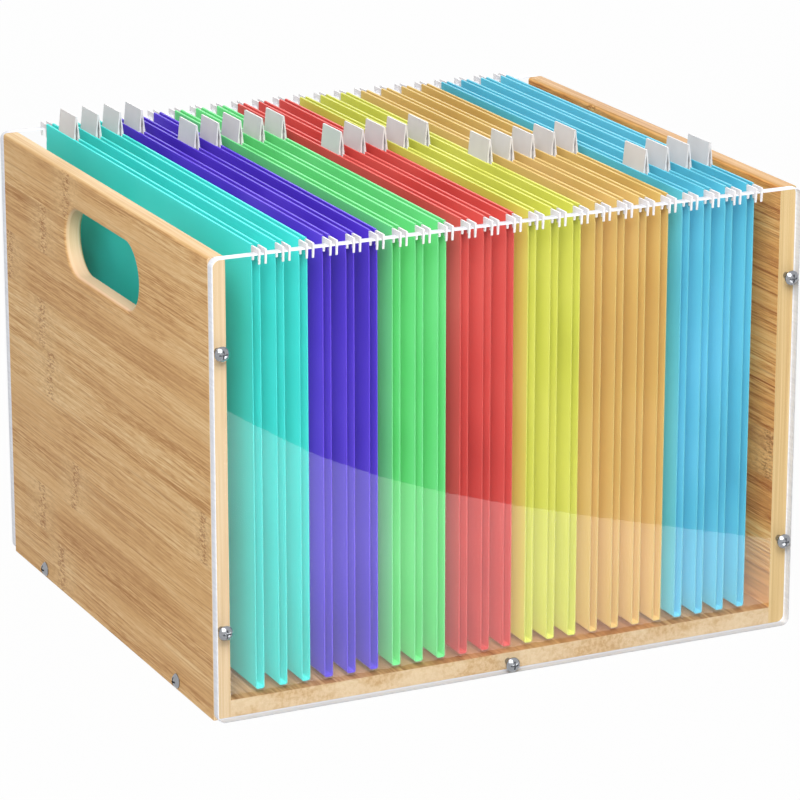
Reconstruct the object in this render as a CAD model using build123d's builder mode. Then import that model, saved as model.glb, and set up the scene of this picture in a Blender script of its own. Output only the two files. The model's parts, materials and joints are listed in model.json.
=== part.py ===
from build123d import *
import math
import os

# An open file box: two bamboo side panels and a bamboo base, closed at the front and back by
# clear panels whose top edges are the rails that letter-size hanging folders hook over.
# Millimetres. X runs across the box, from side panel to side panel, -Y is the front and
# Z is up from the surface that the box stands on. The origin is in the middle of the underside.

# Box
box_width = 352.0            # outside of one side panel to the outside of the other
box_height = 256.0
side_depth = 302.0           # front edge to back edge of a side panel, between the clear panels
side_thickness = 10.0
base_thickness = 10.0
side_edge_round = 2.0        # both long top edges of a side panel
clear_thickness = 6.0
clear_corner_radius = 6.0

# Hand hole in each side panel, a slot with round ends
hand_hole_length = 108.0
hand_hole_height = 38.0
hand_hole_below_top = 19.5   # wood left above the hole
hand_hole_round = 2.5        # both rims

# Pan head wood screws with a cross recess
screw_head_radius = 4.15
screw_head_height = 2.8
screw_head_rim = 0.5         # straight rim under the dome
screw_shank_radius = 1.9
screw_length = 26.0          # under the head, point included
screw_point_length = 4.0
screw_point_radius = 0.3
recess_length = 4.8
recess_width = 1.0
recess_depth = 1.5
pilot_clearance = 0.05       # between the shank and the wood
clear_hole_clearance = 0.25  # between the shank and the clear panel
pilot_extra_depth = 1.0
side_screw_from_end = 51.0   # up from the bottom and down from the top of a clear panel
base_screw_from_end = 51.0   # in from the front and back edges of a side panel

# Hanging folders, counted from the left, in colour groups
folders_in_group = {
    "teal": 3,
    "violet": 3,
    "green": 3,
    "red": 3,
    "yellow": 3,
    "orange": 4,
    "blue": 4,
}
end_space = 18.1             # inner face of a side panel to the middle of the nearest folder
sleeve_width = 5.0           # outside to outside of the two flaps
sheet_thickness = 0.5
sleeve_end_gap = 2.0         # clear panel to the edge of a flap
sleeve_above_base = 3.0
hem_above_rail = 3.5         # top of a flap above the top edge of the clear panels
hem_height = 9.0
hem_round = 0.3
fold_round = 1.3             # outside of the bottom fold
flap_corner_cut = 2.5        # height of the slant under the hem at each end
hem_end_inset = 0.6          # end of the hem in from the edge of its flap

# Hook rods, one in the hem of each flap
rod_thickness = 0.3
hook_plate_thickness = 1.0
rod_clearance = 0.05         # between the rod and the hem, on each flat side
rod_edge_clearance = 0.1     # above and below the rod, and where the hem ends
hook_clearance = 0.3         # between a tooth and the clear panel
outer_tooth_width = 1.3
outer_tooth_tip = 0.8
outer_tooth_drop = 5.2       # below the top of the rail
inner_tooth_tip = 0.8
inner_tooth_drop = 4.8
hook_corner_round = 0.6

# Index tabs, one astride each folder, in rows that step from the back to the front
tab_length = 24.0
tab_height = 13.1
tab_ridge_width = 1.0
tab_leg_thickness = 0.8      # measured across the folder
tab_foot_inset = 0.6         # outer side of a leg in from the outside of its flap
tab_tongue_thickness = 0.45
tab_tongue_drop = 4.0        # into the mouth of the folder
tab_tongue_clearance = 0.1
tab_count_by_row = (4, 5, 5, 5, 4)
tab_from_back = 31.0         # end of the folder to the middle of the first row
tab_from_front = 57.0        # end of the folder to the middle of the last row
tab_row_share = (0.0, 0.235, 0.472, 0.721, 1.0)  # places of the rows, from first to last

# Panels
half_width = box_width / 2
half_depth = side_depth / 2
inner_width = box_width - 2 * side_thickness
side_middle = half_width - side_thickness / 2
base_middle = base_thickness / 2
clear_face = half_depth + clear_thickness
hand_hole_middle = box_height - hand_hole_below_top - hand_hole_height / 2
hand_hole_rim = min(hand_hole_round, 0.3 * side_thickness)

# Folders
folder_count = sum(folders_in_group.values())
folder_pitch = (inner_width - 2 * end_space) / (folder_count - 1)
sleeve_bottom = base_thickness + sleeve_above_base
sleeve_top = box_height + hem_above_rail
sleeve_height = sleeve_top - sleeve_bottom
sleeve_length = side_depth - 2 * sleeve_end_gap
pocket_width = sleeve_width - 2 * sheet_thickness
hem_depth = 2 * (sheet_thickness + rod_clearance) + rod_thickness
hem_middle = (sleeve_width - hem_depth) / 2
hem_bottom = sleeve_top - hem_height
hem_length = sleeve_length - 2 * hem_end_inset
mouth_width = sleeve_width - 2 * hem_depth
rod_channel_height = hem_height - 2 * sheet_thickness
rod_height = rod_channel_height - 2 * rod_edge_clearance
rod_bottom = hem_bottom + sheet_thickness + rod_edge_clearance
rod_top = rod_bottom + rod_height
rod_end = hem_length / 2 + rod_edge_clearance

# Screw places, each a plane on the face that the head sits on, facing outward
front_screw_planes = []
back_screw_planes = []
for x, z in (
    (-side_middle, side_screw_from_end),
    (-side_middle, box_height - side_screw_from_end),
    (side_middle, side_screw_from_end),
    (side_middle, box_height - side_screw_from_end),
    (0, base_middle),
):
    front_screw_planes.append(Plane((x, -clear_face, z), x_dir=(1, 0, 0), z_dir=(0, -1, 0)))
    back_screw_planes.append(Plane((x, clear_face, z), x_dir=(-1, 0, 0), z_dir=(0, 1, 0)))

left_screw_planes = []
right_screw_planes = []
for y in (base_screw_from_end - half_depth, half_depth - base_screw_from_end):
    left_screw_planes.append(Plane((-half_width, y, base_middle), x_dir=(0, -1, 0), z_dir=(-1, 0, 0)))
    right_screw_planes.append(Plane((half_width, y, base_middle), x_dir=(0, 1, 0), z_dir=(1, 0, 0)))

screw_hole_depth = screw_length + pilot_extra_depth


def drill(screw_planes, clearance):
    """Drill a hole for the shank of a screw at each place, in the part being built."""
    with Locations(*screw_planes):
        Hole(radius=screw_shank_radius + clearance, depth=screw_hole_depth)


def finish(shape, name):
    """Name a finished piece and write it."""
    shape.label = name
    export_step(shape, f"parts/{name}.step")


def make_side_panel(inner_face_x, outer_screw_planes):
    """A bamboo side panel that grows along +X, with its hand hole and screw holes."""
    with BuildPart() as panel:
        with BuildSketch(Plane.YZ.offset(inner_face_x)):
            Rectangle(side_depth, box_height, align=(Align.CENTER, Align.MIN))
            with Locations((0, hand_hole_middle)):
                SlotOverall(hand_hole_length, hand_hole_height, mode=Mode.SUBTRACT)
        extrude(amount=side_thickness)
        rims = [
            edge
            for face in panel.faces().filter_by(Axis.X)
            for wire in face.inner_wires()
            for edge in wire.edges()
        ]
        fillet(rims, radius=hand_hole_rim)
        top_edges = panel.edges().filter_by(Axis.Y).group_by(Axis.Z)[-1]
        fillet(top_edges, radius=side_edge_round)
        drill(outer_screw_planes, pilot_clearance)
        drill(front_screw_planes, pilot_clearance)
        drill(back_screw_planes, pilot_clearance)
    return panel.part


def make_clear_panel(inner_face, screw_planes):
    """A clear panel on the given plane, whose top edge is a rail."""
    with BuildPart() as panel:
        with BuildSketch(inner_face):
            RectangleRounded(box_width, box_height, clear_corner_radius, align=(Align.CENTER, Align.MIN))
        extrude(amount=clear_thickness)
        drill(screw_planes, clear_hole_clearance)
    return panel.part


def make_screws(screw_planes):
    """A group of separate screws, one at each place."""
    with BuildPart() as group:
        with Locations(*screw_planes):
            add(screw.part)
    return group.part


os.makedirs("parts", exist_ok=True)

# Panels
finish(make_side_panel(-half_width, left_screw_planes), "left_side_panel")
finish(make_side_panel(half_width - side_thickness, right_screw_planes), "right_side_panel")

with BuildPart() as base_panel:
    with BuildSketch():
        Rectangle(inner_width, side_depth)
    extrude(amount=base_thickness)
    drill(left_screw_planes, pilot_clearance)
    drill(right_screw_planes, pilot_clearance)
    drill(front_screw_planes, pilot_clearance)
    drill(back_screw_planes, pilot_clearance)
finish(base_panel.part, "base_panel")

front_face = Plane.XZ.offset(half_depth)
back_face = Plane((0, half_depth, 0), x_dir=(-1, 0, 0), z_dir=(0, 1, 0))
finish(make_clear_panel(front_face, front_screw_planes), "front_acrylic_panel")
finish(make_clear_panel(back_face, back_screw_planes), "back_acrylic_panel")

# One screw, its head standing up from the origin and its shank going down
dome_base = screw_head_rim
dome_height = screw_head_height - dome_base
dome_radius = (screw_head_radius**2 + dome_height**2) / (2 * dome_height)
dome_middle = screw_head_height - dome_radius
half_way = math.asin(screw_head_radius / dome_radius) / 2
dome_half_way = (dome_radius * math.sin(half_way), dome_middle + dome_radius * math.cos(half_way))
with BuildPart() as screw:
    with BuildSketch(Plane.XZ):
        with BuildLine():
            Polyline(
                (0, screw_head_height),
                (0, -screw_length),
                (screw_point_radius, -screw_length),
                (screw_shank_radius, screw_point_length - screw_length),
                (screw_shank_radius, 0),
                (screw_head_radius, 0),
                (screw_head_radius, dome_base),
            )
            ThreePointArc((screw_head_radius, dome_base), dome_half_way, (0, screw_head_height))
        make_face()
    revolve(axis=Axis.Z)
    with BuildSketch(Plane.XY.offset(screw_head_height)):
        Rectangle(recess_length, recess_width)
        Rectangle(recess_width, recess_length)
    extrude(amount=-recess_depth, mode=Mode.SUBTRACT)

finish(make_screws(front_screw_planes), "front_panel_screws")
finish(make_screws(back_screw_planes), "back_panel_screws")
finish(make_screws(left_screw_planes), "left_base_screws")
finish(make_screws(right_screw_planes), "right_base_screws")

# One sleeve: two flaps joined by the bottom fold, each with a folded hem round its rod
inner_fold_round = fold_round - sheet_thickness
pocket_bottom = sleeve_bottom + sheet_thickness
with BuildPart() as sleeve:
    with BuildSketch(Plane.XZ.offset(-sleeve_length / 2)) as flap_section:
        with Locations((0, sleeve_bottom)):
            Rectangle(sleeve_width, sleeve_height, align=(Align.CENTER, Align.MIN))
        fillet(flap_section.vertices().group_by(Axis.Y)[0], radius=fold_round)
        with BuildSketch(mode=Mode.SUBTRACT) as pocket:
            with Locations((0, pocket_bottom)):
                Rectangle(pocket_width, hem_bottom - pocket_bottom, align=(Align.CENTER, Align.MIN))
            fillet(pocket.vertices().group_by(Axis.Y)[0], radius=inner_fold_round)
            with Locations((0, hem_bottom)):
                Rectangle(mouth_width, hem_height, align=(Align.CENTER, Align.MIN))
        fillet(flap_section.vertices().group_by(Axis.Y)[-1], radius=hem_round)
        with Locations((-hem_middle, rod_bottom), (hem_middle, rod_bottom)):
            with Locations((0, -rod_edge_clearance)):
                Rectangle(
                    rod_thickness + 2 * rod_clearance,
                    rod_channel_height,
                    align=(Align.CENTER, Align.MIN),
                    mode=Mode.SUBTRACT,
                )
    extrude(amount=sleeve_length)
    with BuildSketch(Plane.YZ) as corner_cuts:
        with BuildLine():
            Polyline(
                (sleeve_length / 2, hem_bottom - flap_corner_cut),
                (hem_length / 2, hem_bottom),
                (hem_length / 2, sleeve_top),
                (sleeve_length / 2, sleeve_top),
                close=True,
            )
        make_face()
        mirror(about=Plane.YZ)
    extrude(amount=sleeve_width, both=True, mode=Mode.SUBTRACT)

# One hook rod: a flat bar in the hem, with a hook at each end that rests on the rails
inner_tooth_face = half_depth - hook_clearance
outer_tooth_face = clear_face + hook_clearance
hook_end = outer_tooth_face + outer_tooth_width
outer_tip_height = box_height - outer_tooth_drop
inner_tip_height = box_height - inner_tooth_drop
inner_tip_end = (inner_tooth_face + rod_end - inner_tooth_tip) / 2
with BuildPart() as rod:
    with BuildSketch(Plane.YZ.offset(-rod_thickness / 2)):
        with Locations((0, rod_bottom)):
            Rectangle(2 * rod_end, rod_height, align=(Align.CENTER, Align.MIN))
    extrude(amount=rod_thickness)
    with BuildSketch(Plane.YZ.offset(-hook_plate_thickness / 2)) as hooks:
        with BuildLine():
            Polyline(
                (rod_end, rod_top),
                (hook_end, rod_top),
                (hook_end, box_height),
                (outer_tooth_face + outer_tooth_tip, outer_tip_height),
                (outer_tooth_face, outer_tip_height),
                (outer_tooth_face, box_height),
                (inner_tooth_face, box_height),
                (inner_tip_end + inner_tooth_tip, inner_tip_height),
                (inner_tip_end, inner_tip_height),
                (rod_end, box_height),
                close=True,
            )
        make_face()
        fillet(hooks.vertices().group_by(Axis.Y)[0], radius=0.45 * outer_tooth_tip)
        fillet(hooks.vertices().group_by(Axis.Y)[-1].sort_by(Axis.X)[-1], radius=hook_corner_round)
        mirror(about=Plane.YZ)
    extrude(amount=hook_plate_thickness)

# One index tab: two legs that stand on the hems and lean together, with tongues in the mouth
foot_half = sleeve_width / 2 - tab_foot_inset
ridge_half = tab_ridge_width / 2
foot_inner = foot_half - tab_leg_thickness
leg_lean = (foot_half - ridge_half) / tab_height
tongue_face = mouth_width / 2 - tab_tongue_clearance
tongue_middle = tongue_face - tab_tongue_thickness / 2
tongue_rise = (foot_inner - tongue_middle) / leg_lean   # where the leg leans over its middle
with BuildPart() as tab:
    with BuildSketch(Plane.XZ.offset(-tab_length / 2)):
        with BuildLine():
            Polyline(
                (-foot_half, sleeve_top),
                (-ridge_half, sleeve_top + tab_height),
                (ridge_half, sleeve_top + tab_height),
                (foot_half, sleeve_top),
                (foot_inner, sleeve_top),
                (0, sleeve_top + foot_inner / leg_lean),
                (-foot_inner, sleeve_top),
                close=True,
            )
        make_face()
        with Locations(
            (-tongue_middle, sleeve_top - tab_tongue_drop),
            (tongue_middle, sleeve_top - tab_tongue_drop),
        ):
            Rectangle(
                tab_tongue_thickness,
                tab_tongue_drop + tongue_rise,
                align=(Align.CENTER, Align.MIN),
            )
    extrude(amount=tab_length)

# Tab places, row by row
first_row = sleeve_length / 2 - tab_from_back
last_row = tab_from_front - sleeve_length / 2
tab_places = []
for count, share in zip(tab_count_by_row, tab_row_share):
    tab_places += [first_row + share * (last_row - first_row)] * count

# Folders
for number in range(folder_count):
    middle = number * folder_pitch - inner_width / 2 + end_space
    with BuildPart() as folder_sleeve:
        with Locations((middle, 0, 0)):
            add(sleeve.part)
    finish(folder_sleeve.part, f"folder_{number + 1:02d}_sleeve")
    with BuildPart() as folder_rods_and_tab:
        with Locations((middle - hem_middle, 0, 0), (middle + hem_middle, 0, 0)):
            add(rod.part)
        with Locations((middle, tab_places[number], 0)):
            add(tab.part)
    finish(folder_rods_and_tab.part, f"folder_{number + 1:02d}_rods_and_tab")
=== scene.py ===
import json
import math
from collections import namedtuple

import bpy
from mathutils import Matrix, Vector

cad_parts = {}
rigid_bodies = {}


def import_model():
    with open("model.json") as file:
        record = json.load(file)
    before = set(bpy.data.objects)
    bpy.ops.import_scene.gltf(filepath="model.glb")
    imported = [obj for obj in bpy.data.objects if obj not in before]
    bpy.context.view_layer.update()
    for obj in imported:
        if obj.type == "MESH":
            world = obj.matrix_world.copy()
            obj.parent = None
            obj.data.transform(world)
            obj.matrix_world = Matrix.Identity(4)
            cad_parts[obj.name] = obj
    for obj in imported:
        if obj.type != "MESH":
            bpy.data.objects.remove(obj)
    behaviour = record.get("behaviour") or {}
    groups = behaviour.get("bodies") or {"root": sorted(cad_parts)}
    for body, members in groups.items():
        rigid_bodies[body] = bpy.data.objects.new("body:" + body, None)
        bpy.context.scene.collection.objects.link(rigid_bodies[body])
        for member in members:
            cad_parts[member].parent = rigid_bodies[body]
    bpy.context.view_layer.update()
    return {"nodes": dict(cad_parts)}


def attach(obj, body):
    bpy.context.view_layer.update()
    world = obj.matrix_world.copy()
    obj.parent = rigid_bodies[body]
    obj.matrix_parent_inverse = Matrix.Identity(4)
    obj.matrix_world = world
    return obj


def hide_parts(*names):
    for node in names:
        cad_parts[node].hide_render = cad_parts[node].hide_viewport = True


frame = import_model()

# The box, in metres, as in the solids
MM = 0.001
BOX_WIDTH = 352 * MM
BOX_HEIGHT = 256 * MM
SIDE_DEPTH = 302 * MM
SIDE_THICKNESS = 10 * MM
BASE_THICKNESS = 10 * MM
CLEAR_THICKNESS = 6 * MM
CLEAR_CORNER = 4.5 * MM
CLEAR_EDGE_ROUND = 0.5 * MM
CLEAR_GAP = 0.2 * MM
HALF_WIDTH = BOX_WIDTH / 2
HALF_DEPTH = SIDE_DEPTH / 2
INNER_WIDTH = BOX_WIDTH - 2 * SIDE_THICKNESS
CLEAR_FACE = HALF_DEPTH + CLEAR_THICKNESS
PANEL_MIDDLE = CLEAR_FACE - (CLEAR_THICKNESS - CLEAR_GAP) / 2
SIDE_MIDDLE = HALF_WIDTH - SIDE_THICKNESS / 2
SCREW_FROM_END = 51 * MM
SCREW_HOLE_RADIUS = 2.15 * MM
TAB_START = 258 * MM
HOLE_MIDDLE = 217.5 * MM
HOLE_REACH = 56 * MM
FOLDER_CLEAR = 3 * MM

# Folders, counted from the left
GROUPS = {"teal": 3, "violet": 3, "green": 3, "red": 3, "yellow": 3, "orange": 4, "blue": 4}
FOLDER_COLOURS = [name for name, count in GROUPS.items() for _ in range(count)]

# Sheet colours: deep, plain and pale spots, and the cut edges, which are painted deeper as a painted shade
SHEETS = {
    "teal": ("40DACE", "4AE6E0", "56ECE6", "39B3AE"),
    "violet": ("5034C8", "6042D8", "7054E0", "5138B8"),
    "green": ("68DC82", "78E692", "88EAA0", "5DB371"),
    "red": ("D24844", "E25A54", "E86A62", "B04641"),
    "yellow": ("D2D456", "DEE064", "E6E676", "ADAF4D"),
    "orange": ("DAB668", "E2C274", "EACA86", "B0975A"),
    "blue": ("5ABED8", "68CCE2", "78D4EC", "509FB0"),
}

# Bamboo noise, in cells per metre along the grain, across it and through the panel
GRAIN_WANDER = (7, 30, 9)
FINE_LINES = (13, 950, 250)
MIDDLE_LINES = (6, 380, 80)
PORES = (75, 1250, 250)
BROAD_WAVES = (2.6, 85, 30)
LINED_PARTS = (4, 55, 20)
CLOUDS = (7, 16, 16)
BANDS = (2.0, 150, 30)
STREAKS = (4.5, 540, 120)
KNOT_WANDER = (0, 45, 0)
KNOT_CURLS = (270, 860, 400)
KNOT_SPECKS = (200, 760, 400)
PLIES = (5, 5, 520)
PLY_THREADS = (12, 12, 1700)
END_PATCHES = (30, 40, 90)
END_DOTS = (700, 420, 420)

# Bamboo strips and knots
SIDE_STRIP = BOX_HEIGHT / 9
BASE_STRIP = INNER_WIDTH / 12
STRIP_SHIFT = 3.7
GRAIN_BEND = 2.2 * MM
KNOT_SWAY = 11 * MM
KNOT_CORE = (2.5 * MM, 8 * MM)
KNOT_HALO = (7 * MM, 34 * MM)
GRAIN_RELIEF = 0.10 * MM
SKIN_RELIEF = 0.02 * MM

# The camera of the photograph, fitted to the corners of the box
CAMERA_PLACE = (-0.95066, -2.00094, 0.8027)
CAMERA_TURN = (90 - 17.2892, 0, -25.5597)
CAMERA_LENS = 181.516
SENSOR = 36.0
PHOTO_SIZE = 800

# Lamps and floor
KEY_PLACE = (-0.937, -1.69, 1.87)
KEY_SIZE = (1.7, 1.7)
KEY_TINT = (1, 0.99, 0.975)
LAMP_TARGET = (0, 0, 0.13)
FLOOR_SIZE = 8
FLOOR_BELOW = 0.2 * MM

# Gloss of the clear panels, and the bright card that the front one mirrors. The edge of its glare
# is given in pixels of the photograph.
CLEAR_GLOSS = 1.3
CARD_LIGHT = 6.3
CARD_LIFT = 1 * MM
SEEN_HEIGHT = 100 * MM
GLARE_SIDE = INNER_WIDTH / 2
GLARE_LOW = BASE_THICKNESS + FOLDER_CLEAR
GLARE_EDGE = (
    (226.9, 410.3), (240, 417.3), (253.1, 424.0), (277.9, 436.5), (309.2, 451.4), (324.5, 457.8),
    (380, 476.5), (440, 491.5), (513, 505), (600, 517.5), (690, 529), (775, 538),
)


def colour(code):
    """A colour for a shader from its hexadecimal code."""
    parts = [int(code[i:i + 2], 16) / 255 for i in (0, 2, 4)]
    linear = [p / 12.92 if p <= 0.04045 else ((p + 0.055) / 1.055) ** 2.4 for p in parts]
    return (*linear, 1.0)


def colours(*codes):
    return tuple(colour(code) for code in codes)


WHITE = colour("FFFFFF")


class Nodes:
    """Short calls that build a node tree. Values and sockets are given alike."""

    def __init__(self, tree):
        self.tree = tree
        tree.nodes.clear()

    def join(self, value, socket):
        if isinstance(value, bpy.types.NodeSocket):
            self.tree.links.new(value, socket)
        else:
            socket.default_value = value

    def add(self, kind, inputs=None, **settings):
        node = self.tree.nodes.new(kind)
        for name, value in settings.items():
            setattr(node, name, value)
        for key, value in (inputs or {}).items():
            self.join(value, node.inputs[key])
        return node

    def math(self, operation, *values):
        return self.add("ShaderNodeMath", dict(enumerate(values)), operation=operation).outputs[0]

    def vector(self, *parts):
        return self.add("ShaderNodeCombineXYZ", dict(enumerate(parts))).outputs[0]

    def noise(self, point, cells, shift=(0, 0, 0), detail=2.0, roughness=0.5, distortion=0.0):
        """Noise with so many cells per metre along each axis, moved by shift cells."""
        moved = self.add("ShaderNodeVectorMath", {0: point, 1: cells, 2: shift}, operation="MULTIPLY_ADD")
        node = self.add("ShaderNodeTexNoise", {
            "Vector": moved.outputs[0],
            "Scale": 1.0,
            "Detail": detail,
            "Roughness": roughness,
            "Distortion": distortion,
        })
        return node.outputs["Fac"]

    def smooth(self, value, low, high, to_low=0.0, to_high=1.0):
        """to_low up to low, to_high from high on, and a smooth step between."""
        node = self.add("ShaderNodeMapRange", {
            "Value": value, "From Min": low, "From Max": high, "To Min": to_low, "To Max": to_high,
        }, interpolation_type="SMOOTHSTEP")
        return node.outputs["Result"]

    def ramp(self, factor, stops, interpolation="LINEAR"):
        """Colours, or grey values, at places from 0 to 1."""
        node = self.add("ShaderNodeValToRGB", {"Fac": factor})
        ramp = node.color_ramp
        ramp.interpolation = interpolation
        while len(ramp.elements) < len(stops):
            ramp.elements.new(1.0)
        for element, (place, tone) in zip(ramp.elements, stops):
            element.position = place
            element.color = (tone, tone, tone, 1) if isinstance(tone, (int, float)) else tone
        return node.outputs["Color"]

    def mix(self, factor, a, b):
        """Colour a at factor 0 and colour b at factor 1."""
        node = self.add("ShaderNodeMix", data_type="RGBA", blend_type="MIX")
        for socket, value in zip((node.inputs[0], node.inputs[6], node.inputs[7]), (factor, a, b)):
            self.join(value, socket)
        return node.outputs[2]

    def mix_shaders(self, factor, a, b):
        return self.add("ShaderNodeMixShader", {0: factor, 1: a.outputs[0], 2: b.outputs[0]})

    def bump(self, height, strength, distance):
        node = self.add("ShaderNodeBump", {"Height": height, "Strength": strength, "Distance": distance})
        return node.outputs["Normal"]

    def axes(self, vector):
        """The three parts of a vector, by axis."""
        return self.add("ShaderNodeSeparateXYZ", {0: vector}).outputs

    def where(self):
        """A point's place and its normal, in the object's own axes."""
        place = self.add("ShaderNodeTexCoord")
        return place.outputs["Object"], place.outputs["Normal"]

    def seen_rays(self):
        """1 for rays from the camera, mirrors and clear sheets, otherwise 0."""
        rays = self.add("ShaderNodeLightPath").outputs
        bounced = self.math("MAXIMUM", rays["Is Glossy Ray"], rays["Is Transmission Ray"])
        return self.math("MAXIMUM", rays["Is Camera Ray"], bounced)

    def surface(self, shader):
        self.add("ShaderNodeOutputMaterial", {"Surface": shader.outputs[0]})


def new_material(name):
    material = bpy.data.materials.new(name)
    material.use_nodes = True
    return material, Nodes(material.node_tree)


# What a bamboo panel looks like. across and through are the axes across the strips and through the
# thickness, start is where the first strip begins and strip is its width. knots gives the depth of
# each strip's knot in mm and tones how light each strip is. face has the colours dark, middle, pale
# and knot. edge and top have dark, middle and pale, for the cut edges and for the top edge. A panel
# without a top has speckled ends instead.
Bamboo = namedtuple("Bamboo", "across through start strip knots tones face edge top seed")

BAMBOO = {
    "left_side_panel": Bamboo(
        across="Z", through="X", start=0.0, strip=SIDE_STRIP, seed=2.0,
        knots=(73, 104, 48, -140, 84, 95, 146, 90, 52),
        tones=(0.50, 0.42, 0.55, 0.60, 0.50, 0.58, 0.40, 0.48, 0.60),
        face=colours("A87643", "D2A770", "E5C693", "8A4A12"),
        edge=colours("C9AA81", "D5BA95", "DDC7A6"),
        top=colours("CAA066", "DAB684", "E6CA9C"),
    ),
    "right_side_panel": Bamboo(
        across="Z", through="X", start=0.0, strip=SIDE_STRIP, seed=31.0,
        knots=(-60, 120, -10, -146, 40, 90, -70, 140, 70),
        tones=(0.45, 0.55, 0.35, 0.50, 0.42, 0.55, 0.38, 0.50, 0.45),
        face=colours("A8541C", "EBAA62", "FCD090", "84420E"),
        edge=colours("C09C66", "CEB07C", "D8BD8E"),
        top=colours("AE7A40", "C89658", "D8AE76"),
    ),
    "base_panel": Bamboo(
        across="X", through="Z", start=-INNER_WIDTH / 2, strip=BASE_STRIP, seed=57.0,
        knots=(40, -90, 120, 10, -50, 80, -130, 60, -20, 110, -80, 30),
        tones=(0.5, 0.42, 0.55, 0.48, 0.38, 0.52, 0.45, 0.55, 0.4, 0.5, 0.44, 0.52),
        face=colours("8E6038", "C08E5E", "D6AC7E", "784C28"),
        edge=colours("B68F5C", "CEB089", "D8C09D"),
        top=None,
    ),
}


def strip_of(net, look, side):
    """The number of the strip at a point, the depth of its knot and its tone."""
    count = len(look.knots)
    index = net.math("FLOOR", net.math("DIVIDE", net.math("SUBTRACT", side, look.start), look.strip))
    share = net.math("DIVIDE", net.math("ADD", index, 0.5), count)
    knot_stops = [(i / count, 0.5 + knot * MM / SIDE_DEPTH) for i, knot in enumerate(look.knots)]
    tone_stops = [(i / count, tone) for i, tone in enumerate(look.tones)]
    knot_share = net.ramp(share, knot_stops, "CONSTANT")
    knot_depth = net.math("MULTIPLY", net.math("SUBTRACT", knot_share, 0.5), SIDE_DEPTH)
    return index, knot_depth, net.ramp(share, tone_stops, "CONSTANT")


def wander(net, point, cells, shift, reach, detail=2.0):
    """A slow drift of up to half of reach to either side."""
    drift = net.noise(point, cells, shift, detail=detail)
    return net.math("MULTIPLY", net.math("SUBTRACT", drift, 0.5), reach)


def grain_of(net, point, bent, shift, tone, face):
    """The colour of the wood between the knots, and its grain from 0 to 1."""
    fine = net.noise(bent, FINE_LINES, shift, roughness=0.6)
    middle = net.noise(bent, MIDDLE_LINES, shift, roughness=0.55)
    pores = net.noise(bent, PORES, shift, roughness=0.6)
    broad = net.noise(bent, BROAD_WAVES, shift)
    cloud = net.noise(point, CLOUDS, shift, detail=1.0)
    lined = net.smooth(net.noise(bent, LINED_PARTS, shift, detail=1.0), 0.38, 0.62, 0.45, 1.0)
    lines = net.math("MULTIPLY_ADD", pores, 0.42, -0.61)
    lines = net.math("MULTIPLY_ADD", middle, 0.28, lines)
    lines = net.math("MULTIPLY_ADD", fine, 0.52, lines)
    waves = net.math("MULTIPLY_ADD", broad, 0.22, 0.39)
    grain = net.math("MULTIPLY_ADD", lines, net.math("MULTIPLY", lined, 0.95), waves)
    lightness = net.math("ADD", net.smooth(grain, 0.3, 0.7), net.math("MULTIPLY_ADD", tone, 0.8, -0.4))
    lightness = net.math("ADD", lightness, net.math("MULTIPLY_ADD", cloud, 0.5, -0.25))
    wood = net.ramp(lightness, [(0.0, face[0]), (0.5, face[1]), (1.0, face[2])])
    bands = net.smooth(net.noise(bent, BANDS, shift), 0.55, 0.72, 0.0, 0.16)
    streaks = net.smooth(net.noise(bent, STREAKS, shift, detail=1.0), 0.56, 0.68, 0.0, 0.42)
    return net.mix(net.math("MAXIMUM", bands, streaks), wood, face[0]), grain


def with_knots(net, wood, point, shift, from_knot, face):
    """The wood with its knots: wavy dashes across the grain, in a paler and speckled patch."""
    away = net.math("ABSOLUTE", from_knot)
    core = net.smooth(away, *KNOT_CORE, 1.0, 0.0)
    halo = net.smooth(away, *KNOT_HALO, 1.0, 0.0)
    curls = net.noise(point, KNOT_CURLS, shift, distortion=0.8)
    specks = net.noise(point, KNOT_SPECKS, shift, distortion=0.5)
    wood = net.mix(net.math("MULTIPLY", halo, 0.34), wood, face[2])
    wood = net.mix(net.math("MULTIPLY", halo, net.smooth(specks, 0.43, 0.62, 0.0, 0.34)), wood, face[0])
    wood = net.mix(net.math("MULTIPLY", core, net.smooth(curls, 0.34, 0.46, 0.5, 0.0)), wood, face[2])
    wood = net.mix(net.math("MULTIPLY", core, net.smooth(curls, 0.48, 0.62, 0.0, 0.62)), wood, face[3])
    return wood, net.math("MULTIPLY", core, curls)


def speckled_ends(net, ply, point, facing, look):
    """The base's front and back ends, where the cut fibres show as dots."""
    patches = net.noise(point, END_PATCHES, (look.seed, 0, 0), detail=3.0)
    dots = net.noise(point, END_DOTS, (look.seed, 0, 0), roughness=0.7)
    plain = net.mix(net.smooth(patches, 0.35, 0.65), look.edge[2], look.edge[1])
    dotted = net.math("MULTIPLY", net.smooth(patches, 0.36, 0.64, 0.2, 0.7), net.smooth(dots, 0.40, 0.64))
    at_end = net.smooth(net.math("ABSOLUTE", facing["Y"]), 0.7, 0.9)
    return net.mix(at_end, ply, net.mix(dotted, plain, look.edge[0]))


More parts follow.
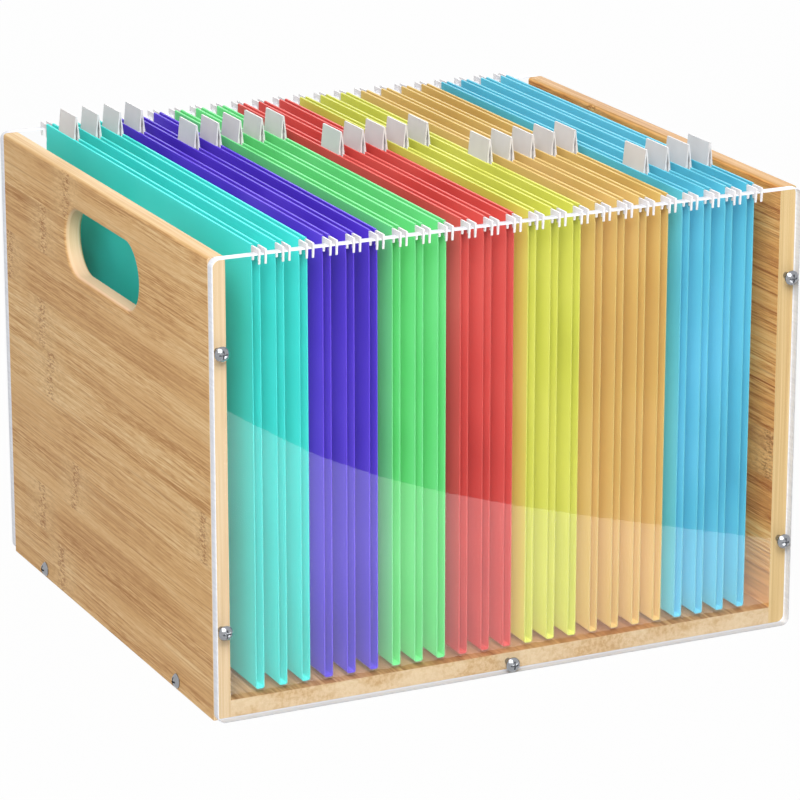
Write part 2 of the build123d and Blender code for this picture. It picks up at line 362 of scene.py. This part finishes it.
def top_and_hole(net, ply, ply_tone, along, height, facing, look):
    """A side's top edge in its own colours, and the up-facing floor of its hand hole painted paler and
    pinker, a painted light.
    """
    dark, middle, pale = look.top
    top = net.ramp(ply_tone, [(0.34, dark), (0.5, middle), (0.64, pale)])
    at_top = net.smooth(height, BOX_HEIGHT - 5 * MM, BOX_HEIGHT - 2 * MM)
    at_top = net.math("MULTIPLY", at_top, net.smooth(facing["Z"], 0.2, 0.6))
    ply = net.mix(at_top, ply, top)
    # The hand hole's up-facing floor gets a paler, pinker colour: painted light against the teal light
    # bounced into the hole.
    near = net.smooth(net.math("ABSOLUTE", along), HOLE_REACH, HOLE_REACH + 2 * MM, 0.6, 0.0)
    low = net.smooth(height, HOLE_MIDDLE - 15 * MM, HOLE_MIDDLE + 10 * MM, 1.0, 0.0)
    hole_floor_light = net.math("MULTIPLY", net.math("MULTIPLY", near, low), net.smooth(facing["Z"], 0.0, 0.9))
    return net.mix(hole_floor_light, ply, colour("EABE9E"))


def cut_edges(net, point, along, height, facing, look):
    """Thin plies through the thickness, on the panel's edges."""
    plies = net.noise(point, PLIES, (look.seed, 0, 0), roughness=0.6)
    threads = net.noise(point, PLY_THREADS, (look.seed, 0, 0), detail=1.0)
    ply_tone = net.math("MULTIPLY_ADD", plies, 0.7, net.math("MULTIPLY", threads, 0.3))
    dark, middle, pale = look.edge
    ply = net.ramp(ply_tone, [(0.32, dark), (0.5, middle), (0.66, pale)])
    if look.top is None:
        return speckled_ends(net, ply, point, facing, look)
    return top_and_hole(net, ply, ply_tone, along, height, facing, look)


def bamboo(name, look):
    """Laminated bamboo whose grain runs along Y, each strip with its own tone, lines and knot."""
    material, net = new_material(name)
    place, normal = net.where()
    split = net.axes(place)
    facing = net.axes(normal)
    along, side, deep = split["Y"], split[look.across], split[look.through]
    index, knot_depth, tone = strip_of(net, look, side)

    # The noise starts anew in each strip, and the grain bends a little
    shift = net.vector(net.math("MULTIPLY_ADD", index, STRIP_SHIFT, look.seed), 0.0, 0.0)
    point = net.vector(along, side, deep)
    bend = wander(net, point, GRAIN_WANDER, shift, GRAIN_BEND)
    bent = net.vector(along, net.math("ADD", side, bend), deep)
    wood, grain = grain_of(net, point, bent, shift, tone, look.face)

    sway = wander(net, point, KNOT_WANDER, shift, KNOT_SWAY, detail=1.0)
    from_knot = net.math("ADD", net.math("SUBTRACT", along, knot_depth), sway)
    wood, curled = with_knots(net, wood, point, shift, from_knot, look.face)
    ply = cut_edges(net, point, along, split["Z"], facing, look)

    on_face = net.smooth(net.math("ABSOLUTE", facing[look.through]), 0.55, 0.92)
    relief = net.math("ADD", net.math("MULTIPLY", grain, 0.6), net.math("MULTIPLY", curled, -0.6))
    net.surface(net.add("ShaderNodeBsdfPrincipled", {
        "Base Color": net.mix(on_face, ply, wood),
        "Roughness": net.smooth(grain, 0.3, 0.7, 0.58, 0.46),
        "Specular IOR Level": 0.16,
        "Normal": net.bump(relief, 0.3, GRAIN_RELIEF),
    }))
    return material


def sheet(name, deep, plain, pale, cut):
    """Satin folder sheet: a fine skin, a slight cloudiness, and cut edges painted deeper as a painted
    shade.
    """
    material, net = new_material(name)
    place, normal = net.where()
    cloud = net.noise(place, (14, 9, 9))
    skin = net.noise(place, (1500, 1500, 1500))
    look = net.ramp(cloud, [(0.30, deep), (0.5, plain), (0.72, pale)])
    # Faces that look along Y, the cut edges, get the deeper colour: painted shade that holds them down
    # under the front light.
    cut_edge_shade = net.smooth(net.math("ABSOLUTE", net.axes(normal)["Y"]), 0.6, 0.9)
    net.surface(net.add("ShaderNodeBsdfPrincipled", {
        "Base Color": net.mix(net.math("MULTIPLY", cut_edge_shade, 0.85), look, cut),
        "Roughness": net.smooth(cloud, 0.3, 0.7, 0.40, 0.48),
        "Specular IOR Level": 0.05,
        "Normal": net.bump(skin, 0.2, SKIN_RELIEF),
    }))
    return material


def white_plastic():
    """Moulded white plastic of the hooks, with the tabs above them painted slightly greyer as a painted
    shade.
    """
    material, net = new_material("white_plastic")
    place, _ = net.where()
    # Above the tab line the colour is painted greyer: painted shade.
    above = net.smooth(net.axes(place)["Z"], TAB_START, TAB_START + 2 * MM)
    cloud = net.noise(place, (60, 60, 60))
    skin = net.noise(place, (2200, 2200, 2200), detail=1.0)
    hooks = net.ramp(cloud, [(0.3, colour("E0DDDE")), (0.7, colour("E8E6E7"))])
    tabs = net.ramp(cloud, [(0.3, colour("D4D2D2")), (0.7, colour("DCDADA"))])
    net.surface(net.add("ShaderNodeBsdfPrincipled", {
        "Base Color": net.mix(above, hooks, tabs),
        "Roughness": net.smooth(cloud, 0.3, 0.7, 0.38, 0.46),
        "Specular IOR Level": 0.2,
        "Normal": net.bump(skin, 0.2, SKIN_RELIEF),
    }))
    return material


def chrome():
    """Bright plated steel, slightly uneven."""
    material, net = new_material("screw_steel")
    place, _ = net.where()
    marks = net.noise(place, (2600, 2600, 2600))
    net.surface(net.add("ShaderNodeBsdfPrincipled", {
        "Base Color": net.ramp(marks, [(0.3, colour("8E9094")), (0.7, colour("A0A2A6"))]),
        "Roughness": net.smooth(marks, 0.3, 0.7, 0.16, 0.24),
        "Metallic": 1.0,
    }))
    return material


def clear_acrylic(glossy):
    """Clear sheet: what is behind it shows, under a thin gloss on its outer side."""
    material, net = new_material("clear_acrylic" if glossy else "clear_inside")
    place, _ = net.where()
    haze = net.noise(place, (12, 12, 12))
    tint = net.ramp(haze, [(0.3, (0.985, 0.99, 0.99, 1)), (0.7, (0.992, 0.995, 0.995, 1))])
    through = net.add("ShaderNodeBsdfTransparent", {"Color": tint})
    if not glossy:
        net.surface(through)
        return material
    gloss = net.add("ShaderNodeBsdfGlossy", {
        "Color": WHITE, "Roughness": net.smooth(haze, 0.3, 0.7, 0.0, 0.02),
    })
    edge = net.add("ShaderNodeFresnel", {"IOR": CLEAR_GLOSS}).outputs[0]
    behind = net.add("ShaderNodeNewGeometry").outputs["Backfacing"]
    shine = net.math("MULTIPLY", edge, net.math("SUBTRACT", 1.0, behind))
    net.surface(net.mix_shaders(shine, through, gloss))
    return material


def acrylic_rim():
    """Cut and flame-polished rim of the clear sheet, milky where it scatters light, its bottom face
    painted greyer as a painted shade.
    """
    material, net = new_material("acrylic_rim")
    place, _ = net.where()
    lines = net.noise(place, (20, 900, 20))
    milky = net.ramp(lines, [(0.35, colour("D4D6DD")), (0.65, colour("E0E2E8"))])
    # The rim's bottom face, seen from inside through the sheet, is painted greyer: painted shade.
    shaded_rim_bottom = net.smooth(net.axes(place)["Y"], 0.4 * MM, 1.2 * MM, 1.0, 0.0)
    net.surface(net.add("ShaderNodeBsdfPrincipled", {
        "Base Color": net.mix(shaded_rim_bottom, milky, colour("C0C2C8")),
        "Roughness": net.smooth(lines, 0.3, 0.7, 0.3, 0.42),
        "Specular IOR Level": 0.3,
    }))
    return material


def outline_piece(name, outline, holes, thickness, round_off):
    """A plate from a flat outline with round holes, its rims rounded, with the XY plane in its middle."""
    curve = bpy.data.curves.new(name, "CURVE")
    curve.dimensions = "2D"
    curve.fill_mode = "BOTH"
    curve.extrude = thickness / 2 - round_off
    curve.bevel_depth = round_off
    curve.bevel_resolution = 2
    curve.offset = -round_off
    for loop in [outline, *holes]:
        spline = curve.splines.new("POLY")
        spline.points.add(len(loop) - 1)
        for point, (x, y) in zip(spline.points, loop):
            point.co = (x, y, 0, 1)
        spline.use_cyclic_u = True
    holder = bpy.data.objects.new(name, curve)
    bpy.context.scene.collection.objects.link(holder)
    bpy.context.view_layer.update()
    mesh = bpy.data.meshes.new_from_object(holder.evaluated_get(bpy.context.evaluated_depsgraph_get()))
    bpy.data.objects.remove(holder)
    mesh.name = name
    return mesh


def circle(x, y, radius, steps=32):
    return [(x + radius * math.cos(a), y + radius * math.sin(a))
            for a in (2 * math.pi * i / steps for i in range(steps))]


def rounded_rectangle(width, height, radius, steps=10):
    """Points of a rectangle with round corners that stands on the X axis, middle at x 0."""
    points = []
    for turn, (cx, cy) in enumerate((
        (width / 2 - radius, height - radius),
        (radius - width / 2, height - radius),
        (radius - width / 2, radius),
        (width / 2 - radius, radius),
    )):
        for i in range(steps + 1):
            a = math.pi / 2 * (turn + i / steps)
            points.append((cx + radius * math.cos(a), cy + radius * math.sin(a)))
    return points


def dress(node, material):
    """Gives a node of the solids its material."""
    mesh = frame["nodes"][node].data
    mesh.materials.clear()
    mesh.materials.append(material)


# Materials of the solids
for node, look in BAMBOO.items():
    dress(node, bamboo("bamboo_" + node.split("_")[0], look))
steel = chrome()
for node in ("front_panel_screws", "back_panel_screws", "left_base_screws", "right_base_screws"):
    dress(node, steel)
white = white_plastic()
sheets = {name: sheet(f"{name}_sheet", *colours(*codes)) for name, codes in SHEETS.items()}
for number, name in enumerate(FOLDER_COLOURS, 1):
    dress(f"folder_{number:02d}_sleeve", sheets[name])
    dress(f"folder_{number:02d}_rods_and_tab", white)

# Clear panels with rounded, milky rims, kept a hair off the wood behind them. Round the screws the
# cut is clear.
heights = (SCREW_FROM_END, BOX_HEIGHT - SCREW_FROM_END)
screw_places = [(side * SIDE_MIDDLE, z) for side in (-1, 1) for z in heights]
screw_places.append((0, BASE_THICKNESS / 2))
panel_mesh = outline_piece(
    "clear_panel",
    rounded_rectangle(BOX_WIDTH, BOX_HEIGHT, CLEAR_CORNER),
    [circle(x, z, SCREW_HOLE_RADIUS) for x, z in screw_places],
    CLEAR_THICKNESS - CLEAR_GAP,
    CLEAR_EDGE_ROUND,
)
OUTSIDE, INSIDE, RIM = range(3)
for material in (clear_acrylic(True), clear_acrylic(False), acrylic_rim()):
    panel_mesh.materials.append(material)
for face in panel_mesh.polygons:
    flat = abs(face.normal.z) > 0.99
    around_screw = any(math.dist(face.center[:2], place) < 2 * SCREW_HOLE_RADIUS for place in screw_places)
    if flat:
        face.material_index = OUTSIDE if face.normal.z > 0 else INSIDE
    else:
        face.material_index = INSIDE if around_screw else RIM
    face.use_smooth = not flat
clear_panels = []
for name, y, turn in (
    ("front", -PANEL_MIDDLE, 0),
    ("back", PANEL_MIDDLE, math.pi),
):
    panel = bpy.data.objects.new(f"{name}_clear_sheet", panel_mesh)
    bpy.context.scene.collection.objects.link(panel)
    panel.rotation_euler = (math.pi / 2, 0, turn)
    panel.location = (0, y, 0)
    bpy.context.view_layer.update()
    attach(panel, "box")
    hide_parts(f"{name}_acrylic_panel")
    clear_panels.append(panel)

# Floor, which looks white to the camera and in mirrors, and lights as a grey one
bpy.ops.mesh.primitive_grid_add(x_subdivisions=2, y_subdivisions=2, size=FLOOR_SIZE)
floor = bpy.context.object
floor.name = "floor"
floor.location.z = -FLOOR_BELOW
floor_material, net = new_material("floor")
paint = net.add("ShaderNodeBsdfDiffuse", {"Color": (0.55, 0.55, 0.55, 1)})
glow = net.add("ShaderNodeEmission", {"Color": WHITE, "Strength": 1.0})
net.surface(net.mix_shaders(net.math("MULTIPLY", net.seen_rays(), 0.97), paint, glow))
floor.data.materials.append(floor_material)

# World, also white where it is seen
world = bpy.data.worlds.new("studio")
bpy.context.scene.world = world
world.use_nodes = True
net = Nodes(world.node_tree)
soft = net.add("ShaderNodeBackground", {"Color": (0.97, 0.98, 1.0, 1), "Strength": 0.45})
bright = net.add("ShaderNodeBackground", {"Color": WHITE, "Strength": 1.0})
sky = net.mix_shaders(net.seen_rays(), soft, bright)
net.add("ShaderNodeOutputWorld", {"Surface": sky.outputs[0]})


def lamp(name, place, size, power, target=LAMP_TARGET, tint=(1, 1, 1)):
    data = bpy.data.lights.new(name, "AREA")
    data.shape = "RECTANGLE"
    data.size, data.size_y = size
    data.energy = power
    data.color = tint
    holder = bpy.data.objects.new(name, data)
    bpy.context.scene.collection.objects.link(holder)
    holder.location = place
    holder.rotation_euler = (Vector(target) - Vector(place)).to_track_quat("-Z", "Y").to_euler()
    return holder


def pass_through(lamps, name, objects):
    """Lets the light of some lamps through some objects."""
    group = bpy.data.collections.new(name)
    for item in objects:
        group.objects.link(item)
    for item in group.collection_objects:
        item.light_linking.link_state = "EXCLUDE"
    for holder in lamps:
        holder.light_linking.blocker_collection = group


# Lamps. The low one lights the narrow gaps between the folders alone.
key = lamp("key", KEY_PLACE, KEY_SIZE, 31, tint=KEY_TINT)
key_fill = lamp("key_fill", KEY_PLACE, KEY_SIZE, 24, tint=KEY_TINT)
front = lamp("front", (-0.758, -1.875, 1.6), (0.8, 0.8), 22)
back = lamp("back", (0.9, 1.8, 0.9), (1.0, 1.0), 10, target=(0, 0, 0.15))
gaps = lamp("gaps", (-0.66, -2.28, 0.2), (0.5, 0.15), 18)
sleeves = bpy.data.collections.new("sleeves")
for number in range(1, len(FOLDER_COLOURS) + 1):
    sleeves.objects.link(frame["nodes"][f"folder_{number:02d}_sleeve"])
gaps.light_linking.receiver_collection = sleeves
pass_through((key, front, gaps), "clear_panels", clear_panels)
pass_through((key_fill,), "clear_panels_and_sleeves", [*clear_panels, *sleeves.objects])

# Camera
camera_data = bpy.data.cameras.new("camera")
camera_data.lens = CAMERA_LENS
camera_data.sensor_width = SENSOR
camera_data.clip_start = 0.05
camera_data.clip_end = 20
camera = bpy.data.objects.new("camera", camera_data)
bpy.context.scene.collection.objects.link(camera)
camera.location = CAMERA_PLACE
camera.rotation_euler = [math.radians(a) for a in CAMERA_TURN]
bpy.context.scene.camera = camera
bpy.context.scene.view_settings.view_transform = "Standard"
bpy.context.view_layer.update()
turned = camera.matrix_world.to_3x3()
eye = Vector(CAMERA_PLACE)


def on_front_panel(x, y):
    """Where the ray through a pixel of the photograph meets the front panel."""
    reach = SENSOR / CAMERA_LENS
    ray = turned @ Vector(((x / PHOTO_SIZE - 0.5) * reach, (0.5 - y / PHOTO_SIZE) * reach, -1))
    return eye + ray * ((-CLEAR_FACE - eye.y) / ray.y)


def mirrored_on_floor(point):
    """Where the mirrored ray through a point of the front panel meets the card's height."""
    away = Vector((point.x - eye.x, eye.y - point.y, point.z - eye.z))
    return point + away * ((CARD_LIFT - point.z) / away.z)


def seen_on_panel(x, z):
    """Where the front panel covers a point just behind it, seen from the camera."""
    point = Vector((x, -HALF_DEPTH, z))
    ray = point - eye
    return eye + ray * ((-CLEAR_FACE - eye.y) / ray.y)


# A bright card on the floor that only mirrors see: the front panel shows it as a pale glare. It
# shines in one direction, and from far aside it looks like the pale floor.
rim_points = [on_front_panel(x, y) for x, y in GLARE_EDGE]
rim_points[0].x = seen_on_panel(-GLARE_SIDE, rim_points[0].z).x
rim_points[-1].x = seen_on_panel(GLARE_SIDE, rim_points[-1].z).x
rim_points += [seen_on_panel(x, GLARE_LOW) for x in (GLARE_SIDE, -GLARE_SIDE)]
card_mesh = bpy.data.meshes.new("glare_card")
card_mesh.from_pydata([mirrored_on_floor(p) for p in rim_points], [], [tuple(range(len(rim_points)))])
card_material, net = new_material("glare_card")
beam = Vector((-eye.x, eye.y + CLEAR_FACE, SEEN_HEIGHT - eye.z)).normalized()
aside = net.add("ShaderNodeLayerWeight", {"Normal": net.vector(*beam)}).outputs["Facing"]
shine = net.smooth(aside, 0.1, 0.4, CARD_LIGHT, 1.0)
net.surface(net.add("ShaderNodeEmission", {"Color": WHITE, "Strength": shine}))
card_material.cycles.emission_sampling = "NONE"
card_mesh.materials.append(card_material)
card = bpy.data.objects.new("glare_card", card_mesh)
bpy.context.scene.collection.objects.link(card)
card.visible_camera = False
card.visible_diffuse = False
card.visible_shadow = False
card.visible_transmission = False

bpy.context.view_layer.update()
